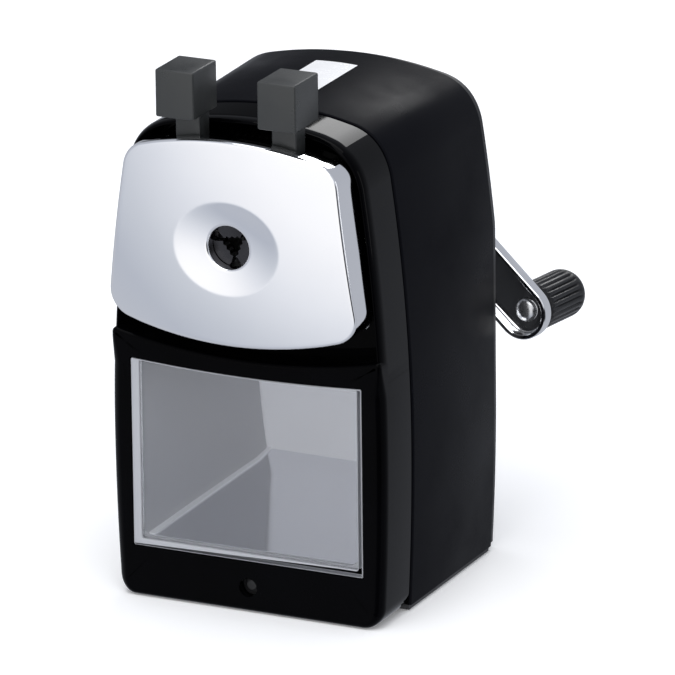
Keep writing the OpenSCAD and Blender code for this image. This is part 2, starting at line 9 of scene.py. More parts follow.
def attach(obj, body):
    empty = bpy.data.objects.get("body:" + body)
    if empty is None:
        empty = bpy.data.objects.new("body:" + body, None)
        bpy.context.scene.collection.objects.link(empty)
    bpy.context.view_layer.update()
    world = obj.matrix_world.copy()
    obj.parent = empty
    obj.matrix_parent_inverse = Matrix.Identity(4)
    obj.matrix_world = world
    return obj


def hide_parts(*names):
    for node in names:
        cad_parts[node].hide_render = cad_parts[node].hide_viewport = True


# Lengths below are millimetres, laid out as (x, back, z): x to the right, back from the
# front panel's plane, z above the table.  MM turns them into the frame's metres.
MM = 0.001
FRONT = -33.5
AXIS_Z = 94.7
TAU = 2 * math.pi

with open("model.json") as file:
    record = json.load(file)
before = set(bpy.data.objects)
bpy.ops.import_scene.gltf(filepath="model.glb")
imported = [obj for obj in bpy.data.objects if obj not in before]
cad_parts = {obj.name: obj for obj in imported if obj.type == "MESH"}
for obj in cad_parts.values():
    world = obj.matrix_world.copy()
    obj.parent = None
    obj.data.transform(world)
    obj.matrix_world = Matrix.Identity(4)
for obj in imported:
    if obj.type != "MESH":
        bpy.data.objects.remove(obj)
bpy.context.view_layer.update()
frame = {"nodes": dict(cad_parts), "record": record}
scene = bpy.context.scene


# ---------------------------------------------------------------- camera
AZIMUTH, ELEVATION, ROLL = 25.628, 18.249, 0.647
TARGET = Vector((0.0113, -0.0055, 0.0630))
DISTANCE = 2.087
LENS = 461.15


def make_camera():
    a, e = math.radians(AZIMUTH), math.radians(ELEVATION)
    back = Vector((math.sin(a) * math.cos(e), -math.cos(a) * math.cos(e), math.sin(e)))
    data = bpy.data.cameras.new("camera")
    data.lens = LENS
    data.clip_start, data.clip_end = 0.1, 20
    cam = bpy.data.objects.new("camera", data)
    scene.collection.objects.link(cam)
    cam.location = TARGET + back * DISTANCE
    cam.rotation_mode = "QUATERNION"
    turn = Matrix.Rotation(math.radians(ROLL), 4, -back)
    cam.rotation_quaternion = turn.to_quaternion() @ (-back).to_track_quat("-Z", "Y")
    scene.camera = cam


make_camera()


# ---------------------------------------------------------------- materials
class Nodes:
    """A material's node tree, with one call per node."""

    def __init__(self, name):
        self.mat = bpy.data.materials.new(name)
        self.mat.use_nodes = True
        self.tree = self.mat.node_tree
        self.bsdf = self.tree.nodes["Principled BSDF"]
        coord = self.tree.nodes.new("ShaderNodeTexCoord")
        self.place = coord.outputs["Object"]

    def add(self, kind, **inputs):
        node = self.tree.nodes.new("ShaderNode" + kind)
        for key, value in inputs.items():
            key = key.replace("_", " ")
            self.put(node.inputs[key], value)
        return node

    def put(self, socket, value):
        if isinstance(value, bpy.types.NodeSocket):
            self.tree.links.new(value, socket)
        else:
            socket.default_value = value

    def noise(self, scale, detail=3.0, rough=0.5, stretch=(1, 1, 1)):
        place = self.place
        if stretch != (1, 1, 1):
            place = self.add("Mapping", Vector=place, Scale=stretch).outputs[0]
        node = self.add("TexNoise", Vector=place, Scale=scale, Detail=detail, Roughness=rough)
        return node.outputs["Fac"]

    def span(self, value, low, high, to_low, to_high):
        node = self.add("MapRange", Value=value)
        for i, v in enumerate((low, high, to_low, to_high)):
            node.inputs[i + 1].default_value = v
        return node.outputs[0]

    def mix(self, fac, a, b):
        node = self.add("MixRGB")
        self.put(node.inputs[0], fac)
        self.put(node.inputs[1], a)
        self.put(node.inputs[2], b)
        return node.outputs[0]

    def bump(self, height, strength, depth):
        node = self.add("Bump", Height=height, Strength=strength, Distance=depth)
        self.put(self.bsdf.inputs["Normal"], node.outputs[0])


def rgb(r, g, b):
    return (r, g, b, 1.0)


def surface(name, dark, light, rough, metal=0.0, spec=0.5, patch=60.0, grain=900.0,
            grain_depth=0.0, stretch=(1, 1, 1), tint=1.0):
    """Colour wanders between dark and light; roughness between rough[0] and rough[1], with fine
    scratches where stretch is uneven; grain_depth is the height of the moulded or rolled grain."""
    n = Nodes(name)
    cloud = n.noise(patch, 4.0, 0.55)
    fine = n.noise(grain, 5.0, 0.6, stretch)
    n.put(n.bsdf.inputs["Base Color"], n.mix(n.span(cloud, 0.35, 0.65, 0.0, 1.0), dark, light))
    blend = n.add("Math", Value=0.0)
    blend.operation = "MULTIPLY"
    n.put(blend.inputs[0], n.span(cloud, 0.3, 0.7, 0.6, 1.4))
    n.put(blend.inputs[1], n.span(fine, 0.3, 0.7, rough[0], rough[1]))
    n.put(n.bsdf.inputs["Roughness"], blend.outputs[0])
    n.bsdf.inputs["Metallic"].default_value = metal
    n.bsdf.inputs["Specular IOR Level"].default_value = spec
    n.bsdf.inputs["Specular Tint"].default_value = rgb(tint, tint, tint)
    if grain_depth:
        n.bump(fine, 1.0, grain_depth * MM)
    return n.mat


BLACK = rgb(0.0006, 0.0006, 0.0008)
MATERIALS = {}


def finish(name, *looks, **extra):
    MATERIALS[name] = surface(name, *looks, **extra)


finish("rubber", rgb(0.02, 0.02, 0.02), rgb(0.045, 0.045, 0.045), (0.6, 0.9), grain_depth=0.04)
finish("black_plastic", rgb(0.008, 0.008, 0.009), rgb(0.013, 0.013, 0.015),
       (0.35, 0.55), grain=2600, grain_depth=0.01)
finish("gloss_black", BLACK, rgb(0.001, 0.001, 0.0015), (0.04, 0.07), spec=0.12, tint=0.2, patch=40)
finish("cap_plastic", rgb(0.024, 0.026, 0.026), rgb(0.032, 0.034, 0.034),
       (0.38, 0.5), grain=3200, grain_depth=0.006)
finish("knob_plastic", rgb(0.003, 0.0033, 0.004), rgb(0.005, 0.0055, 0.0065),
       (0.25, 0.42), spec=0.3, grain=2600, grain_depth=0.006)
finish("bushing_plastic", rgb(0.62, 0.6, 0.52), rgb(0.7, 0.68, 0.6), (0.3, 0.45))
finish("black_paint", rgb(0.003, 0.0032, 0.0048), rgb(0.004, 0.0042, 0.006),
       (0.33, 0.38), spec=0.03, grain=2200, patch=30)
finish("plate_chrome", rgb(0.86, 0.865, 0.89), rgb(0.9, 0.905, 0.92),
       (0.03, 0.09), metal=1.0, grain=300, patch=25)
finish("arm_chrome", rgb(0.82, 0.825, 0.84), rgb(0.88, 0.885, 0.9),
       (0.06, 0.16), metal=1.0, grain=400, patch=40)
finish("screw_steel", rgb(0.55, 0.56, 0.58), rgb(0.66, 0.67, 0.69), (0.18, 0.32), metal=1.0, grain=1500)
finish("sheet_steel", rgb(0.42, 0.42, 0.43), rgb(0.5, 0.5, 0.51),
       (0.28, 0.5), metal=1.0, grain=250, stretch=(1, 1, 14))
finish("rod_steel", rgb(0.6, 0.61, 0.62), rgb(0.68, 0.69, 0.7),
       (0.12, 0.25), metal=1.0, grain=500, stretch=(12, 1, 12))
finish("spring_steel", rgb(0.45, 0.45, 0.46), rgb(0.55, 0.55, 0.56), (0.2, 0.35), metal=1.0)
finish("jaw_steel", rgb(0.03, 0.03, 0.033), rgb(0.06, 0.06, 0.066), (0.2, 0.35), metal=1.0, grain=900)
finish("gear_metal", rgb(0.25, 0.25, 0.26), rgb(0.34, 0.34, 0.35),
       (0.35, 0.55), metal=1.0, grain_depth=0.01)
finish("carrier_metal", rgb(0.42, 0.42, 0.43), rgb(0.52, 0.52, 0.53),
       (0.4, 0.6), metal=1.0, grain_depth=0.02)
finish("cutter_steel", rgb(0.28, 0.29, 0.31), rgb(0.38, 0.39, 0.41), (0.2, 0.4), metal=1.0)
finish("bearing_bronze", rgb(0.42, 0.27, 0.12), rgb(0.5, 0.33, 0.16), (0.3, 0.5), metal=1.0)
finish("label_film", rgb(0.93, 0.93, 0.94), rgb(0.97, 0.97, 0.98), (0.2, 0.3), grain=2000)


def clear_plastic(name, colour, through, rough, metal=0.0, painted_light=0.0):
    """Moulded plastic, faintly scuffed: through is how clear it is, and the last argument is painted light,
    an emission that brightens the plastic though it is no lamp."""
    n = Nodes(name)
    scuff = n.noise(420, 5.0, 0.6, (1, 1, 5))
    n.put(n.bsdf.inputs["Roughness"], n.span(scuff, 0.4, 0.8, *rough))
    haze = n.noise(30, 3.0)
    n.put(n.bsdf.inputs["Base Color"], n.mix(haze, colour, rgb(*(c * 0.94 for c in colour[:3]))))
    n.bsdf.inputs["Transmission Weight"].default_value = through
    n.bsdf.inputs["IOR"].default_value = 1.35
    n.bsdf.inputs["Metallic"].default_value = metal
    n.bsdf.inputs["Emission Color"].default_value = colour
    # painted light: an emission that makes the plastic glow
    n.bsdf.inputs["Emission Strength"].default_value = painted_light
    return n.mat


MATERIALS["clear_plastic"] = clear_plastic("clear_plastic", rgb(0.93, 0.94, 0.96), 0.97, (0.02, 0.08))
# finishes of the drawer's walls, which are frosted, of its back wall, which glows with painted light, of the
# painted highlights on its left-hand corners, of its window's edge, and of its polished floor
FROSTED = clear_plastic("frosted_plastic", rgb(0.78, 0.79, 0.83), 0.25, (0.12, 0.25))
# the back wall's finish glows: painted light that makes the back wall look brighter
PAINTED_LIGHT_BACK = clear_plastic("frosted_back_painted_light", rgb(0.84, 0.85, 0.89), 0.0, (0.2, 0.3), painted_light=0.2)
# pale glowing finish: painted highlights along the bin's left-hand corners
PAINTED_HIGHLIGHT = clear_plastic("painted_corner_highlight", rgb(0.9, 0.91, 0.94), 0.0, (0.15, 0.25), painted_light=0.12)
EDGE = clear_plastic("window_edge", rgb(0.42, 0.43, 0.46), 0.0, (0.2, 0.3))
POLISHED = clear_plastic("polished_floor", rgb(0.8, 0.81, 0.85), 0.0, (0.08, 0.14), metal=1.0)
SLOT_OF = {s["node"]: s["material_slot"] for s in frame["record"]["subparts"]}
BODY_OF = {n: b for b, ns in frame["record"]["behaviour"]["bodies"].items() for n in ns}
SMOOTH_ANGLE = math.radians(32)


def shade(mesh, angle=SMOOTH_ANGLE):
    mesh.polygons.foreach_set("use_smooth", [True] * len(mesh.polygons))
    mesh.set_sharp_from_angle(angle=angle)
    mesh.update()


for node_name, node_obj in frame["nodes"].items():
    node_obj.data.materials.clear()
    node_obj.data.materials.append(MATERIALS[SLOT_OF[node_name]])
    shade(node_obj.data)


# ---------------------------------------------------------------- mesh helpers
def place(p):
    return (p[0] * MM, (FRONT + p[1]) * MM, p[2] * MM)


def piece(name, node, verts, faces, cutters=(), slot=None, angle=SMOOTH_ANGLE, matrix=None, material=None):
    """Makes a mesh that stands for a CAD node and takes its body and finish from it."""
    mesh = bpy.data.meshes.new(name)
    mesh.from_pydata([tuple(matrix @ Vector(v)) if matrix else place(v) for v in verts], [], faces)
    bm = bmesh.new()
    bm.from_mesh(mesh)
    bmesh.ops.remove_doubles(bm, verts=bm.verts, dist=1e-7)
    bmesh.ops.recalc_face_normals(bm, faces=bm.faces)
    bm.to_mesh(mesh)
    bm.free()
    obj = bpy.data.objects.new(name, mesh)
    scene.collection.objects.link(obj)
    for cutter in cutters:
        mod = obj.modifiers.new("cut", "BOOLEAN")
        mod.operation, mod.solver, mod.object = "DIFFERENCE", "EXACT", cutter
    if cutters:
        apply_modifiers(obj)
        for cutter in cutters:
            bpy.data.objects.remove(cutter)
    shade(obj.data, angle)
    slot = slot or SLOT_OF[node]
    obj.data.materials.clear()
    obj.data.materials.append(material or MATERIALS[slot])
    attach(obj, BODY_OF[node])
    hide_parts(node)


def apply_modifiers(obj):
    graph = bpy.context.evaluated_depsgraph_get()
    mesh = bpy.data.meshes.new_from_object(obj.evaluated_get(graph))
    obj.modifiers.clear()
    obj.data = mesh


def solid(verts, faces):
    mesh = bpy.data.meshes.new("cutter")
    mesh.from_pydata([place(v) for v in verts], [], faces)
    bm = bmesh.new()
    bm.from_mesh(mesh)
    bmesh.ops.recalc_face_normals(bm, faces=bm.faces)
    bm.to_mesh(mesh)
    bm.free()
    obj = bpy.data.objects.new("cutter", mesh)
    scene.collection.objects.link(obj)
    return obj


def loft(rings, closed=True, wrap=False, cap_first=False, cap_last=False):
    """Joins rings of equal length with quads; wrap joins the last ring to the first."""
    n, m = len(rings[0]), len(rings)
    verts = [tuple(p) for ring in rings for p in ring]
    faces = []
    for i in range(m if wrap else m - 1):
        a, b = i * n, (i + 1) % m * n
        for j in range(n if closed else n - 1):
            k = (j + 1) % n
            faces.append((a + j, a + k, b + k, b + j))
    if cap_first:
        faces.append(tuple(range(n)))
    if cap_last:
        faces.append(tuple((m - 1) * n + j for j in range(n)))
    return verts, faces


def join(*parts):
    verts, faces = [], []
    for v, f in parts:
        base = len(verts)
        verts += v
        faces += [tuple(i + base for i in face) for face in f]
    return verts, faces


def outward(loop, closed=True):
    """Unit normals of a loop or path of (x, z) points that runs anticlockwise from the front."""
    p = np.asarray(loop, float)
    along = np.roll(p, -1, 0) - np.roll(p, 1, 0) if closed else np.gradient(p, axis=0)
    n = np.stack([along[:, 1], -along[:, 0]], 1)
    return n / np.linalg.norm(n, axis=1, keepdims=True)


def inset(loop, d, closed=True):
    return np.asarray(loop, float) - outward(loop, closed) * np.reshape(d, (-1, 1))


def ring(loop, back):
    back = np.broadcast_to(back, len(loop))
    return [(p[0], b, p[1]) for p, b in zip(loop, back)]


def polar(loop, centre, angles):
    """The loop's points seen from centre at the given angles."""
    p = np.asarray(loop, float) - centre
    q = np.roll(p, -1, 0)
    out = []
    for a in angles:
        d = np.array([math.cos(a), math.sin(a)])
        cross_p, cross_q = p[:, 1] * d[0] - p[:, 0] * d[1], q[:, 1] * d[0] - q[:, 0] * d[1]
        t = cross_p / np.where(cross_p == cross_q, 1, cross_p - cross_q)
        hit = p + (q - p) * t[:, None]
        ok = (cross_p * cross_q <= 0) & (hit @ d > 0) & (cross_p != cross_q)
        out.append(centre + hit[ok][np.argmax(hit[ok] @ d)])
    return np.array(out)


def angles_of(centre, *loops):
    found = sorted(a for loop in loops for a in np.arctan2(*(np.asarray(loop, float) - centre).T[::-1]))
    keep = [found[0]]
    for a in found[1:]:
        if a - keep[-1] > 0.002:
            keep.append(a)
    return keep


def corner(a, b, c, r, n=8):
    """Arc of radius r that rounds the corner b between a and c."""
    a, b, c = (np.asarray(p, float) for p in (a, b, c))
    u, w = (a - b) / np.linalg.norm(a - b), (c - b) / np.linalg.norm(c - b)
    half = math.acos(float(u @ w)) / 2
    mid = b + (u + w) / np.linalg.norm(u + w) * (r / math.sin(half))
    start, end = b + u * r / math.tan(half) - mid, b + w * r / math.tan(half) - mid
    turn = math.pi - 2 * half
    return [mid + (start * math.sin(turn * (1 - i / n)) + end * math.sin(turn * i / n)) / math.sin(turn)
            for i in range(n + 1)]


def sag(loop):
    """Lets the top edge of a window loop hang lower in the middle."""
    deepest, half_width, upper_half = 1.15, 30.9, 50
    drop = deepest * (1 - (loop[:, 0] / half_width) ** 2) * (loop[:, 1] > upper_half)
    return np.stack([loop[:, 0], loop[:, 1] - drop], 1)


def box_loop(x0, x1, z0, z1, r, n=8, fill=12):
    pts = [(x0, z0), (x1, z0), (x1, z1), (x0, z1)]
    loop = []
    for i in range(4):
        arc = corner(pts[i - 1], pts[i], pts[(i + 1) % 4], r, n)
        if loop:
            loop += [loop[-1] + (arc[0] - loop[-1]) * k / fill for k in range(1, fill)]
        loop += arc
    loop += [loop[-1] + (loop[0] - loop[-1]) * k / fill for k in range(1, fill)]
    return np.array(loop)


def circle(r, n, x=0.0, z=0.0):
    return np.array([(x + r * math.cos(TAU * i / n), z + r * math.sin(TAU * i / n)) for i in range(n)])


def quarter(r, steps, first=0.0):
    """(inset, depth) pairs of a rounded edge of radius r, from the face to the side."""
    out = []
    for i in range(steps + 1):
        a = first + (math.pi / 2 - first) * i / steps
        out.append((r * (1 - math.sin(a)), r * (1 - math.cos(a))))
    return out


def rod(r, back0, back1, x, z, n=48):
    loop = circle(r, n, x, z)
    return loft([ring(loop, back0), ring(loop, back1)], cap_first=True, cap_last=True)


def sweep(path, profile):
    """Carries a closed profile of (inset, back) pairs along an open path of (x, z) points."""
    n = outward(path, closed=False)
    rings = [[(p[0] - m[0] * t, back, p[1] - m[1] * t) for t, back in profile] for p, m in zip(path, n)]
    return loft(rings, cap_first=True, cap_last=True)


def plate(outer, holes, back0, back1, bevel):
    """A flat plate with holes and rounded edges, made as a filled curve."""
    curve = bpy.data.curves.new("plate", "CURVE")
    curve.dimensions, curve.fill_mode = "2D", "BOTH"
    curve.extrude = (back1 - back0) / 2 * MM - bevel * MM
    curve.bevel_depth, curve.bevel_resolution, curve.offset = bevel * MM, 3, -bevel * MM
    for loop in [outer] + list(holes):
        spline = curve.splines.new("POLY")
        spline.points.add(len(loop) - 1)
        for point, (x, z) in zip(spline.points, loop):
            point.co = (x * MM, z * MM, 0, 1)
        spline.use_cyclic_u = True
    obj = bpy.data.objects.new("plate", curve)
    scene.collection.objects.link(obj)
    mesh = bpy.data.meshes.new_from_object(obj.evaluated_get(bpy.context.evaluated_depsgraph_get()))
    bpy.data.objects.remove(obj)
    mid = (back0 + back1) / 2
    verts = [(v.co.x / MM, mid - v.co.z / MM, v.co.y / MM) for v in mesh.vertices]
    faces = [tuple(p.vertices) for p in mesh.polygons]
    bpy.data.meshes.remove(mesh)
    return verts, faces


def rounded_box(x0, x1, b0, b1, z0, z1, r, steps=4):
    bm = bmesh.new()
    bmesh.ops.create_cube(bm, size=1.0)
    for v in bm.verts:
        v.co = Vector(((x0 + x1) / 2 + v.co.x * (x1 - x0), (b0 + b1) / 2 + v.co.y * (b1 - b0),
                       (z0 + z1) / 2 + v.co.z * (z1 - z0)))
    bmesh.ops.bevel(bm, geom=list(bm.edges), offset=r, segments=steps, profile=0.5, affect="EDGES")
    verts = [tuple(v.co) for v in bm.verts]
    faces = [tuple(v.index for v in f.verts) for f in bm.faces]
    bm.free()
    return verts, faces


def turned(profile, n=96, ribs=0):
    """Turns (radius, height, rib depth) triples about local Z."""
    rings = []
    for r, h, depth in profile:
        pts = []
        for i in range(n):
            a = TAU * i / n
            rr = r - depth * (0.5 + 0.5 * math.cos(ribs * a)) ** 3 if ribs else r
            pts.append((rr * math.cos(a), rr * math.sin(a), h))
        rings.append(pts)
    return loft(rings, cap_first=True, cap_last=True)


# ---------------------------------------------------------------- body outlines
HALF_WIDTH, BELLY_Z = 36.8, 43
BODY_TOP, ARCH_BOW = 124.1, 176
SHELL_LOW, SHELL_T = 1.6, 0.9
FRAME_IN, FRAME_LOW, FRAME_BACK = 0.4, 0.3, 16.2
SCREW_Z = 6.4
CASING_Y0, CASING_Y1 = 16.5, 63.5


def side_x(z):
    """Half the body's width at height z, widest at the belly."""
    return HALF_WIDTH - (z - BELLY_Z) ** 2 / (900 if z > BELLY_Z else 1470)


def arch_z(x):
    return BODY_TOP - x * x / ARCH_BOW


def panel_top(x):
    """Top edge of the lower panel, lowest in the middle."""
    return 64.2 + x * x / 320


def outline(z0, t=0.0):
    """The casing's outline from low on the right, over the top, to low on the left."""
    shoulder_z, arch_x = 110, 21
    low, high = np.array([side_x(shoulder_z), shoulder_z]), np.array([arch_x, arch_z(arch_x)])
    bend = np.array([29.8, 119.8])
    half = [(side_x(z), z) for z in np.linspace(z0, shoulder_z, 60)[:-1]]
    half += [tuple(low * (1 - s) ** 2 + 2 * bend * s * (1 - s) + high * s * s)
             for s in np.linspace(0, 1, 18)[:-1]]
    half += [(x, arch_z(x)) for x in np.linspace(arch_x, 0, 18)]
    path = np.array(half + [(-x, z) for x, z in half[-2::-1]])
    return inset(path, t, closed=False)


def rear_outline(z0, t=0.0):
    """The outline at the back, where the shell is a little wider over its upper half."""
    flare, flare_from, flare_over, widest = 0.052, 36, 46, 36.78
    path = outline(z0)
    rise = np.clip((path[:, 1] - flare_from) / flare_over, 0, 1)
    wide = path[:, 0] * (1 + flare * rise * rise * (3 - 2 * rise))
    path[:, 0] = np.clip(wide, -widest, widest)
    return inset(path, t, closed=False)


def casing():
    """The steel wrap: its rounded edge profile is carried along the outline, front to rear."""
    half = SHELL_T / 2
    edge = [(half - half * math.cos(a), half * math.sin(a)) for a in np.linspace(0, math.pi, 9)]
    profile = [(i, CASING_Y0 + half - d) for i, d in edge]
    profile += [(i, CASING_Y1 - half + d) for i, d in reversed(edge)]
    front, rear = outline(SHELL_LOW), rear_outline(SHELL_LOW)
    front_out, rear_out = outward(front, closed=False), outward(rear, closed=False)
    rings = []
    for k in range(len(front)):
        pts = []
        for i, back in profile:
            f = (back - CASING_Y0) / (CASING_Y1 - CASING_Y0)
            p = (front[k] - front_out[k] * i) * (1 - f) + (rear[k] - rear_out[k] * i) * f
            pts.append((p[0], back, p[1]))
        rings.append(pts)
    piece("casing_wrap", "casing", *loft(rings, cap_first=True, cap_last=True))


def frame_panel():
    """Lower panel with the drawer window, rounded more down its sides than along its top."""
    edge_x = lambda z: side_x(z) - FRAME_IN
    mirror = lambda pts: [(-p[0], p[1]) for p in reversed(pts)]
    bottom = [(x, FRAME_LOW) for x in np.linspace(-26, 26, 27)]
    side = [(edge_x(z), z) for z in np.linspace(8, 64, 44)]
    top = [(x, panel_top(x)) for x in np.linspace(33, -33, 67)]
    low_right = corner(bottom[-1], (edge_x(1), FRAME_LOW), side[0], 5.0, 12)
    high_right = corner(side[-1], (35.7, 68.18), top[0], 1.2)
    outer = np.array(bottom + list(low_right) + side + list(high_right) + top
                     + mirror(high_right) + mirror(side) + mirror(low_right))
    window = sag(box_loop(-30.85, 30.85, 13.0, 61.1, 0.5))
    centre = np.array([0.0, 37.2])
    angles = angles_of(centre, outer, window)
    outer, window = polar(outer, centre, angles), polar(window, centre, angles)
    lean = np.abs(outward(outer)[:, 0])
    radius = 1.15 + 2.05 * lean ** 2 * np.clip((66 - outer[:, 1]) / 7, 0, 1)
    wall, window_depth, window_edge = 2, 2.6, 0.15
    rings = [ring(inset(window, -1.2), 0), ring(inset(outer, radius + 0.5), 0)]
    for i, d in quarter(1.0, 8):
        rings.append(ring(inset(outer, radius * i), radius * d))
    rings += [ring(outer, FRAME_BACK - 0.3), ring(inset(outer, 0.3), FRAME_BACK)]
    rings += [ring(inset(outer, wall), back) for back in (FRAME_BACK, window_depth)]
    rings += [ring(window, window_depth), ring(window, window_edge)]
    rings += [ring(inset(window, -window_edge + i), d) for i, d in reversed(quarter(window_edge, 3))]
    recess = solid(*rod(2.4, -1, 4, 0, SCREW_Z))
    piece("frame_panel", "front_frame", *loft(rings, wrap=True), cutters=[recess])


def frame_bezel():
    """Bezel round the face plate, set back over the top to leave room for the levers' stems."""
    path = outline(62)
    stem_room = 1.5 * np.clip((26 - np.abs(path[:, 0])) / 6, 0, 1)
    lip_depth = 5
    edge = [(FRAME_IN + 1.2 * i, 1.2 + 3.2 * d) for i, d in quarter(1, 10)]
    profile = [(1.7, FRAME_BACK), (1.7, 1.6), (1.68, 1.42), (1.62, 1.24)] + edge
    profile += [(FRAME_IN, FRAME_BACK - 0.3), (FRAME_IN + 0.3, FRAME_BACK)]
    rings = []
    for i, back in profile:
        deeper = path - outward(path, closed=False) * i
        rings.append([(x, back + (room if back < lip_depth else 0), z)
                      for (x, z), room in zip(deeper, stem_room)])
    rings = [[r[k] for r in rings] for k in range(len(path))]
    piece("frame_bezel", "front_frame", *loft(rings, cap_first=True, cap_last=True))


def frame_wall():
    """Wall behind the face plate, with the chuck's opening and the two rod holes."""
    wall = outline(61.5, 1.6)
    foot = [(x, 62.5 - x * x / 320) for x in np.linspace(wall[-1][0], wall[0][0], 40)[1:-1]]
    holes = [circle(18, 96, 0, AXIS_Z)] + [circle(3.62, 40, s * 25, AXIS_Z) for s in (-1, 1)]
    piece("frame_wall", "front_frame", *plate(list(wall) + foot, holes, 8, 10, 0.25))


def frame_spigot():
    """Spigot that the casing slips over."""
    lip = [(1.25, 16.1), (2.9, 16.1), (2.9, 19.2), (1.55, 19.2), (1.25, 18.9)]
    piece("frame_spigot", "front_frame", *sweep(outline(5), lip))


PLATE_CORNER = 6.5


def plate_low(x):
    return 70.1 + x * x / 216


def plate_high(x):
    return 120.7 - x * x / ARCH_BOW


def plate_loop():
    """The face plate's outline: bowed top and bottom, sides that lean in, round corners."""
    side = lambda z: 29.3 + 0.13 * (104.3 - z)
    waist = (side(90), 90)
    bottom = [(x, plate_low(x)) for x in np.linspace(-24, 24, 33)]
    top = [(x, plate_high(x)) for x in np.linspace(20, -20, 33)]
    low = corner(bottom[-1], (33.1, plate_low(33.1)), waist, PLATE_CORNER, 16)
    high = corner(waist, (27.6, plate_high(27.6)), top[0], PLATE_CORNER, 16)
    edge = [low[-1] + (high[0] - low[-1]) * k / 24 for k in range(1, 24)]
    right = list(low) + edge + list(high)
    return np.array(bottom + right + top + [(-p[0], p[1]) for p in reversed(right)])


def face_plate():
    """The chrome pressing: pillowed front, dish round the hole, and a rim that is cut short over
    the levers' stems."""
    centre = np.array([0.0, AXIS_Z])
    outer = plate_loop()
    notch_x = 18.2
    steps = [(s * (notch_x + d), plate_high(notch_x)) for s in (-1, 1) for d in (-0.02, 0.02)]
    angles = sorted(set(angles_of(centre, outer)) | set(np.linspace(-math.pi, math.pi, 181)[:-1]))
    edges = [math.atan2(z - AXIS_Z, x) for x, z in steps]
    apart = 0.004
    angles = [a for i, a in enumerate(angles) if (i == 0 or a - angles[i - 1] > apart)
              and all(abs(a - e) > apart for e in edges)]
    angles = sorted(angles + edges)
    outer = polar(outer, centre, angles)
    around = np.array([(math.cos(a), math.sin(a)) for a in angles])
    hole, fold, thick = 5.3, 0.8, 1.2
    in_notch = (np.abs(outer[:, 0]) < notch_x) & (outer[:, 1] > AXIS_Z)
    back = np.where(in_notch, -3.6, 3.0)
    outer = inset(outer, -0.15)
    side_flare = (0.3 + 0.35 * np.clip((outer[:, 1] - 80) / 15, 0, 1)) * outward(outer)[:, 0] ** 2

    def front(points):
        """How far back the front face lies at some (x, z) points."""
        dish_depth, dish_r, dish_shape = 1.7, 12.6, (1.1, 0.92)
        pillow = -9.5 + np.linalg.norm(points - centre, axis=1) ** 2 / 400
        u = np.linalg.norm((points - centre) / dish_shape, axis=1)
        return pillow + dish_depth * np.maximum(0, 1 - (u / dish_r) ** 2) ** 1.1

    rings = [ring(centre + around * hole, -5.5)]
    mouth = centre + around * (hole + 0.8)
    level = front(mouth)
    rings += [ring(centre + around * (hole + i), level + d) for i, d in reversed(quarter(0.8, 5))]
    for r in np.linspace(6.4, 14.5, 26):
        pts = centre + around * r
        rings.append(ring(pts, front(pts)))
    inner = centre + around * 14.5
    rim = inset(outer, fold)
    for t in np.linspace(0, 1, 17)[1:]:
        pts = inner + (rim - inner) * t
        rings.append(ring(pts, front(pts)))
    edge_level = front(rim)
    for i, d in quarter(fold, 7, math.radians(9))[1:]:
        rings.append(ring(inset(outer, i), edge_level + d))
    rings += [ring(inset(outer, -side_flare), back - 0.25),
              ring(inset(outer, 0.2 - side_flare), back), ring(inset(outer, thick - 0.2 - side_flare), back),
              ring(inset(outer, thick - side_flare), back - 0.25)]
    inside = inset(outer, thick + 0.6)
    rings += [ring(inset(outer, thick), np.minimum(edge_level + thick + fold, back - 0.5)),
              ring(inside, front(inside) + thick + 0.2)]
    far = centre + around * 13
    rings += [ring(far, front(far) + thick), ring(far, -5.5)]
    piece("face_plate_chrome", "face_plate", *loft(rings, wrap=True), angle=math.radians(40))


def caps():
    """Finger caps, each moulded with the stem that covers its lever."""
    for s, side in ((-1, "left"), (1, "right")):
        x = s * 13.4
        cap = rounded_box(x - 5.05, x + 5.05, -8.4, 4.4, 125.2, 137.0, 0.5)
        x = s * 12.65
        stem = rounded_box(x - 3.2, x + 3.2, -3.0, 2.4, 117.2, 126.5, 0.35)
        piece("finger_cap_" + side, "cap_" + side, *join(cap, stem))


def drawer_front():
    """Clear pane with a bright moulded edge, widest on the left and along the bottom."""
    rim_loop = sag(box_loop(-30.7, 30.7, 13.1, 60.9, 0.5))
    pane_loop = sag(box_loop(-28.5, 29.3, 15.0, 60.6, 0.5))
    gap, pane_front, pane_back = 0.02, 0.6, 2.2
    piece("drawer_window_rim", "drawer", *plate(rim_loop, [pane_loop], 0.2, 2.3, 0.25), material=EDGE)
    rings = [ring(inset(pane_loop, gap + i), pane_front + d) for i, d in quarter(0.1, 2)]
    rings.append(ring(inset(pane_loop, gap), pane_back))
    piece("drawer_window", "drawer", *loft(rings, cap_first=True, cap_last=True))


BIN_TOP = 59.3


def bin_section(x, back, floor, fillet, t):
    """The bin's cross-section at one depth, from the left rim, under the floor, to the right rim."""
    x, floor = x - t, floor + t
    left = [(-x, BIN_TOP)]
    for a in np.linspace(math.pi, 1.5 * math.pi, 7):
        left.append((-x + fillet + fillet * math.cos(a), floor + fillet + fillet * math.sin(a)))
    return [(px, back, z) for px, z in left] + [(-px, back, z) for px, z in reversed(left)]


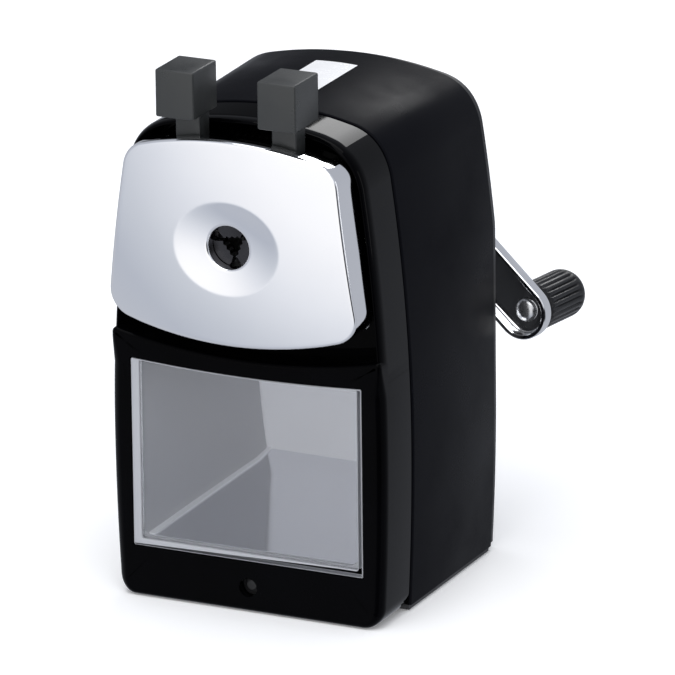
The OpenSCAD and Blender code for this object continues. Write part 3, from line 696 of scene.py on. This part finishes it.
def drawer_bin():
    """Frosted bin, open at the front and top, narrower and shallower to the rear."""
    t = 1.3
    outside = [bin_section(29.9, 2.5, 14.0, 3.4, 0), bin_section(25.8, 57.6, 16.6, 1.8, 0)]
    inside = [bin_section(29.9, 2.5, 14.0, 2.6, t), bin_section(25.9, 56.3, 16.6, 1.2, t)]
    n = len(outside[0])
    verts = outside[0] + outside[1] + inside[0] + inside[1]
    faces = []
    for j in range(n - 1):
        faces += [(j, j + 1, n + j + 1, n + j),
                  (2 * n + j, 2 * n + j + 1, 3 * n + j + 1, 3 * n + j),
                  (j, j + 1, 2 * n + j + 1, 2 * n + j)]
    faces += [tuple(range(n, 2 * n)), tuple(range(3 * n, 4 * n))]
    faces += [(0, 2 * n, 3 * n, n), (n - 1, 3 * n - 1, 4 * n - 1, 2 * n - 1),
              (n, 3 * n, 4 * n - 1, 2 * n - 1)]
    piece("drawer_bin", "drawer", verts, faces, material=FROSTED)


def sheet(name, corners, lift, material):
    """A thin skin over one inner face of the bin."""
    corners = np.array(corners, float)
    skin = loft([corners, corners + np.array(lift)], cap_first=True, cap_last=True)
    piece(name, "drawer", *skin, material=material)


def drawer_skins():
    """Back wall brightened with painted light, polished floor, and painted highlight strips along the two
    left-hand corners.
    """
    low, high, wall, rear = 18, 59.2, 56.2, 56.1
    # skin over the back wall that glows with painted light
    sheet("drawer_back_painted_light_skin",
          [(-25.0, wall, low), (24.4, wall, low), (24.4, wall, high), (-23.4, wall, high)],
          (0, -0.1, 0), PAINTED_LIGHT_BACK)
    sheet("drawer_floor_skin",
          [(-26.2, 3, 15.45), (28.0, 3, 15.45), (24.2, rear, low), (-23.4, rear, low)],
          (0, 0, 0.1), POLISHED)
    # painted highlight along the corner where the floor meets the left wall
    sheet("drawer_floor_corner_highlight",
          [(-28.5, 3, 15.6), (-25.9, 3, 15.6), (-23.4, rear, 18.1), (-24.5, rear, 18.1)],
          (0, 0, 0.35), PAINTED_HIGHLIGHT)
    # painted highlight up the back wall's left-hand corner
    sheet("drawer_back_corner_highlight",
          [(-25.0, rear, low), (-24.3, rear, low), (-22.7, rear, high), (-23.4, rear, high)],
          (0, -0.2, 0), PAINTED_HIGHLIGHT)


def front_screw():
    """Domed head in the recess under the window."""
    head = [(0.1, 2.0, 0), (1.2, 2.0, 0), (1.35, 1.75, 0), (1.9, 1.6, 0), (2.2, 1.2, 0), (2.25, 0.5, 0),
            (2.2, 0.3, 0), (0.9, 0.3, 0), (0.9, -1.0, 0), (0.1, -1.0, 0)]
    matrix = (Matrix.Translation((0, (FRONT + 4.2) * MM, SCREW_Z * MM))
              @ Matrix.Rotation(math.radians(90), 4, "X") @ Matrix.Scale(MM, 4))
    piece("black_front_screw", "front_screw", *turned(head, 48), matrix=matrix, slot="black_plastic")


ARM_LEN, ARM_DROP, ARM_LEAN, ARM_BACK, ARM_R, ARM_T = 53.5, 41.0, 5.0, 79.6, 6.8, 1.2
ARM = (Matrix.Translation((0, (FRONT + ARM_BACK) * MM, AXIS_Z * MM))
       @ Matrix.Rotation(math.radians(ARM_DROP), 4, "Y") @ Matrix.Rotation(math.radians(-90), 4, "X")
       @ Matrix.Rotation(math.radians(ARM_LEAN), 4, "Y") @ Matrix.Scale(MM, 4))
KNOB = ARM @ Matrix.Translation((ARM_LEN, 0, 0))


def capsule(d, h, n=40):
    """The arm's outline, d inside its edge and h along its local Z."""
    r = ARM_R - d
    far = [(ARM_LEN + r * math.cos(a), r * math.sin(a), h) for a in np.linspace(-math.pi / 2, math.pi / 2, n)]
    near = [(r * math.cos(a), r * math.sin(a), h) for a in np.linspace(math.pi / 2, 1.5 * math.pi, n)]
    return far + near


def crank():
    """Stamped arm as a tray open to the front, its riveted pin, and the ribbed knob."""
    rings = [capsule(1.2 + i, -d) for i, d in quarter(1.0, 5)]
    rings += [capsule(1.2, -3.0), capsule(1.0, -3.2), capsule(0.2, -3.2), capsule(0, -3.0)]
    rings += [capsule(i, ARM_T - d) for i, d in reversed(quarter(1.6, 6))]
    piece("crank_arm_tray", "crank_arm", *loft(rings, cap_first=True, cap_last=True), matrix=ARM)
    head = [(0.05, -1.35, 0), (1.2, -1.3, 0), (2.1, -1.05, 0), (2.7, -0.6, 0), (2.9, -0.1, 0), (2.9, 0, 0)]
    pin = head + [(2.2, 0, 0), (2.2, 1.2, 0), (4.2, 1.2, 0), (4.4, 1.35, 0), (4.4, 1.75, 0), (4.2, 1.9, 0),
                  (2.2, 1.9, 0), (2.2, 18.2, 0), (0.05, 18.2, 0)]
    piece("knob_rivet", "knob_pin", *turned(pin, 48), matrix=KNOB)
    grip = [(2.4, 0.0, 0), (5.3, 0.0, 0), (5.8, 0.25, 0), (6.02, 0.8, 0.1)]
    grip += [(6.1, h, 0.5) for h in (1.6, 5, 9, 13, 14.6)]
    grip += [(6.1, 15.4, 0.15), (6.1, 16.0, 0)]
    end_r, end_h = 4.0, 16.0
    grip += [(2.1 + end_r * math.cos(a), end_h + end_r * math.sin(a), 0)
             for a in np.linspace(0.15, math.pi / 2, 9)]
    grip += [(0.05, 20.0, 0)]
    piece("knob_grip", "knob", *turned(grip, 240, 24), matrix=KNOB @ Matrix.Translation((0, 0, ARM_T + 1)))


def rear_cover():
    """Cover that fits inside the casing's rear edge, with the shaft's hole and four screw holes."""
    loop = list(rear_outline(SHELL_LOW, SHELL_T + 0.05))
    foot = [(x, SHELL_LOW) for x in np.linspace(loop[-1][0], loop[0][0], 30)[1:-1]]
    holes = [circle(8, 72, 0, AXIS_Z)] + [circle(2.8, 32, x, z) for z in (78, 110) for x in (-18, 18)]
    piece("rear_cover_shell", "rear_cover", *plate(loop + foot, holes, 62, 67, 0.9))


def label():
    """A plain film that follows the arch of the casing."""
    xs = np.linspace(-5.6, 5.6, 13)
    skins = [[[(x, back, arch_z(x) + lift) for x in xs] for back in np.linspace(30, 53, 5)]
             for lift in (0.1, 0)]
    piece("plain_label", "top_label", *join(*(loft(skin, closed=False) for skin in skins)))


def cutter():
    """Milling cutter with helical teeth on its leaning axis."""
    teeth, steps, length, twist = 18, 48, 24.8, math.radians(80)
    tooth = ((6.15, -0.95), (7.1, -0.12), (7.18, 0.12), (6.15, 0.5))
    m = (Matrix.Translation((0, (FRONT + 17.8) * MM, (AXIS_Z + 12) * MM))
         @ Matrix.Rotation(math.radians(-100.5), 4, "X") @ Matrix.Scale(MM, 4))
    rings = []
    for k in range(steps + 1):
        h, turn = 2.2 + length * k / steps, twist * k / steps
        pts = []
        for i in range(teeth):
            for r, w in tooth:
                a = TAU * i / teeth + turn + w / r
                pts.append((r * math.cos(a), r * math.sin(a), h))
        rings.append(pts)
    piece("helical_cutter", "cutter", *loft(rings, cap_first=True, cap_last=True), matrix=m)


casing()
frame_panel()
frame_bezel()
frame_wall()
frame_spigot()
face_plate()
caps()
drawer_front()
drawer_bin()
drawer_skins()
front_screw()
crank()
rear_cover()
label()
cutter()


# ---------------------------------------------------------------- floor, light and surroundings
def make_floor():
    mesh = bpy.data.meshes.new("floor")
    mesh.from_pydata([(-6, -6, 0), (6, -6, 0), (6, 6, 0), (-6, 6, 0)], [], [(0, 1, 2, 3)])
    obj = bpy.data.objects.new("floor", mesh)
    scene.collection.objects.link(obj)
    n = Nodes("floor")
    n.bsdf.inputs["Base Color"].default_value = rgb(1.0, 1.0, 1.0)
    n.bsdf.inputs["Emission Color"].default_value = rgb(1.0, 1.0, 1.0)
    n.bsdf.inputs["Emission Strength"].default_value = 0.12
    n.bsdf.inputs["Roughness"].default_value = 0.9
    n.bsdf.inputs["Specular IOR Level"].default_value = 0.0
    mesh.materials.append(n.mat)
    obj.visible_glossy = False


def area(name, azimuth, elevation, distance, width, height, radiance, colour=(1, 1, 1)):
    """A soft box seen from the object at an azimuth (0 is the front, 90 the right) and elevation."""
    a, e = math.radians(azimuth), math.radians(elevation)
    way = Vector((math.sin(a) * math.cos(e), -math.cos(a) * math.cos(e), math.sin(e)))
    data = bpy.data.lights.new(name, "AREA")
    data.shape, data.size, data.size_y = "RECTANGLE", width, height
    data.energy = radiance * math.pi * width * height
    data.color = colour
    obj = bpy.data.objects.new(name, data)
    scene.collection.objects.link(obj)
    obj.location = Vector((0, 0, 0.07)) + way * distance
    obj.rotation_mode = "QUATERNION"
    obj.rotation_quaternion = way.to_track_quat("Z", "Y")
    obj.visible_camera = False
    return obj


# brightness of the room, from the object's back round to its front
ROOM = ((0.0, (0.5, 0.52, 0.57)), (0.3, (0.42, 0.44, 0.49)), (0.66, (0.55, 0.57, 0.62)),
        (0.75, (0.5, 0.53, 0.6)), (0.8, (0.63, 0.66, 0.72)), (0.86, (0.85, 0.87, 0.92)),
        (0.92, (1.08, 1.08, 1.1)), (1.0, (1.2, 1.2, 1.2)))
# dark patches: direction, cosines where the patch begins and is full, and the share of light left
DARK = (((0.71, -0.69, -0.15), 0.9, 0.96, 0.06), ((-0.42, 0.85, 0.27), 0.95, 0.985, 0.12))


def make_world():
    """White to the camera; to everything else a pale room with two dark patches."""
    world = bpy.data.worlds.new("world")
    scene.world = world
    world.use_nodes = True
    tree = world.node_tree
    tree.nodes.clear()
    new = lambda kind: tree.nodes.new("ShaderNode" + kind)
    out, seen, room = new("OutputWorld"), new("Background"), new("Background")
    mix, path = new("MixShader"), new("LightPath")
    coord, dot, ramp = new("TexCoord"), new("VectorMath"), new("ValToRGB")
    dot.operation = "DOT_PRODUCT"
    dot.inputs[1].default_value = Vector((0.084, -0.962, 0.259)).normalized()
    tree.links.new(coord.outputs["Generated"], dot.inputs[0])
    stretch = new("MapRange")
    stretch.inputs[1].default_value, stretch.inputs[2].default_value = -1.0, 1.0
    tree.links.new(dot.outputs["Value"], stretch.inputs[0])
    tree.links.new(stretch.outputs[0], ramp.inputs[0])
    while len(ramp.color_ramp.elements) < len(ROOM):
        ramp.color_ramp.elements.new(0.5)
    for element, (at, colour) in zip(ramp.color_ramp.elements, ROOM):
        element.position, element.color = at, (*colour, 1)
    lit = ramp.outputs[0]
    for way, from_dot, to_dot, left in DARK:
        near, flag, shade_room = new("VectorMath"), new("MapRange"), new("MixRGB")
        near.operation = "DOT_PRODUCT"
        near.inputs[1].default_value = Vector(way).normalized()
        tree.links.new(coord.outputs["Generated"], near.inputs[0])
        tree.links.new(near.outputs["Value"], flag.inputs[0])
        for i, v in enumerate((from_dot, to_dot, 1.0, left)):
            flag.inputs[i + 1].default_value = v
        shade_room.blend_type = "MULTIPLY"
        shade_room.inputs[0].default_value = 1.0
        tree.links.new(lit, shade_room.inputs[1])
        tree.links.new(flag.outputs[0], shade_room.inputs[2])
        lit = shade_room.outputs[0]
    tree.links.new(lit, room.inputs[0])
    seen.inputs[0].default_value = (1, 1, 1, 1)
    tree.links.new(path.outputs["Is Camera Ray"], mix.inputs[0])
    tree.links.new(room.outputs[0], mix.inputs[1])
    tree.links.new(seen.outputs[0], mix.inputs[2])
    tree.links.new(mix.outputs[0], out.inputs[0])


make_floor()
make_world()
# azimuth, elevation, distance, width, height, radiance
area("key", 15, 55, 1.4, 1.2, 0.8, 1.6)
area("top", 0, 88, 1.2, 1.0, 1.0, 1.7)
area("rear", 186, 29, 1.8, 0.72, 0.46, 4.5)
area("side", 104, 8, 1.6, 0.25, 0.9, 2.0)
scene.view_settings.view_transform = "Standard"
